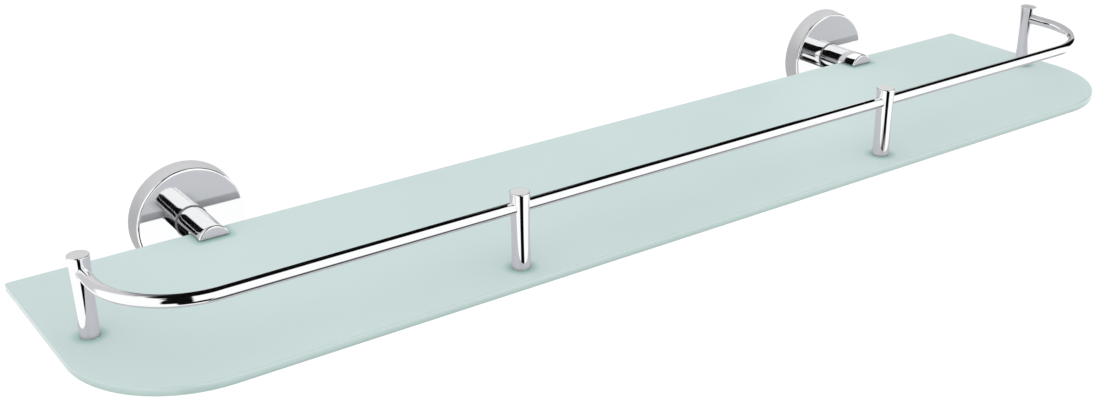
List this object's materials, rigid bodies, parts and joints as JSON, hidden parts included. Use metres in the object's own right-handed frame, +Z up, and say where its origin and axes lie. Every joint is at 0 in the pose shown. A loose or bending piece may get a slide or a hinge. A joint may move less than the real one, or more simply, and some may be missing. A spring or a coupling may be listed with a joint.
{
  "type": "wall shelf with brackets",
  "caption": "Frosted glass wall shelf with rounded front corners, a low bent chrome gallery rail on posts, and round wall rosettes whose barrels clamp its back edge.",
  "frame": {"origin": "on the wall plane, midway between the two brackets, at the height of the clamp axes and of the middle of the glass; this is the centre of the four wall screw holes", "axes": "+X along the shelf to the right as seen from the room, +Y into the wall, +Z up"},
  "size_m": [0.6, 0.1585, 0.0655],
  "materials": {
    "frosted_glass": "satin etched float glass, faint green tint, polished edges",
    "chrome": "mirror-polished chrome plating on brass",
    "steel": "bright zinc-plated steel",
    "cast_zinc": "raw die-cast zinc, dull grey",
    "nylon": "natural white nylon",
    "clear_vinyl": "clear soft vinyl, slightly cloudy",
    "dark_seal": "dark grey seal, satin"
  },
  "bodies": {
    "shelf": {"glass_shelf": "frosted_glass", "gallery_rail": "chrome", "post_left_end": "chrome", "post_left_front": "chrome", "post_right_front": "chrome", "post_right_end": "chrome", "post_gaskets": "clear_vinyl", "post_bushes": "nylon", "post_washers": "steel", "post_screws": "steel", "left_rosette": "chrome", "left_wall_plate": "cast_zinc", "left_lock_screw": "steel", "left_seat_ring": "dark_seal", "left_clamp_barrel": "chrome", "left_clamp_bolt": "steel", "left_bolt_washer": "steel", "left_upper_pad": "clear_vinyl", "right_rosette": "chrome", "right_wall_plate": "cast_zinc", "right_lock_screw": "steel", "right_seat_ring": "dark_seal", "right_clamp_barrel": "chrome", "right_clamp_bolt": "steel", "right_bolt_washer": "steel", "right_upper_pad": "clear_vinyl"},
    "left_pad": {"left_pressure_pad": "clear_vinyl"},
    "left_screw": {"left_clamp_screw": "steel"},
    "right_pad": {"right_pressure_pad": "clear_vinyl"},
    "right_screw": {"right_clamp_screw": "steel"}
  },
  "joints": [
    {"name": "left_pad_drop", "type": "slide", "parent": "shelf", "child": "left_pad", "axis": [0, 0, -1], "range_m": [0, 0.0008]},
    {"name": "left_screw_turn", "type": "hinge", "parent": "left_pad", "child": "left_screw", "pos_m": [-0.208, -0.03175, -0.0055], "axis": [0, 0, -1], "range_deg": [0, 360]},
    {"name": "right_pad_drop", "type": "slide", "parent": "shelf", "child": "right_pad", "axis": [0, 0, -1], "range_m": [0, 0.0008]},
    {"name": "right_screw_turn", "type": "hinge", "parent": "right_pad", "child": "right_screw", "pos_m": [0.208, -0.03175, -0.0055], "axis": [0, 0, -1], "range_deg": [0, 360]}
  ],
  "couplings": [
    {"joint": "left_screw_turn", "follows": "left_pad_drop", "rad_per_m": 7853.9},
    {"joint": "right_screw_turn", "follows": "right_pad_drop", "rad_per_m": 7853.9}
  ]
}
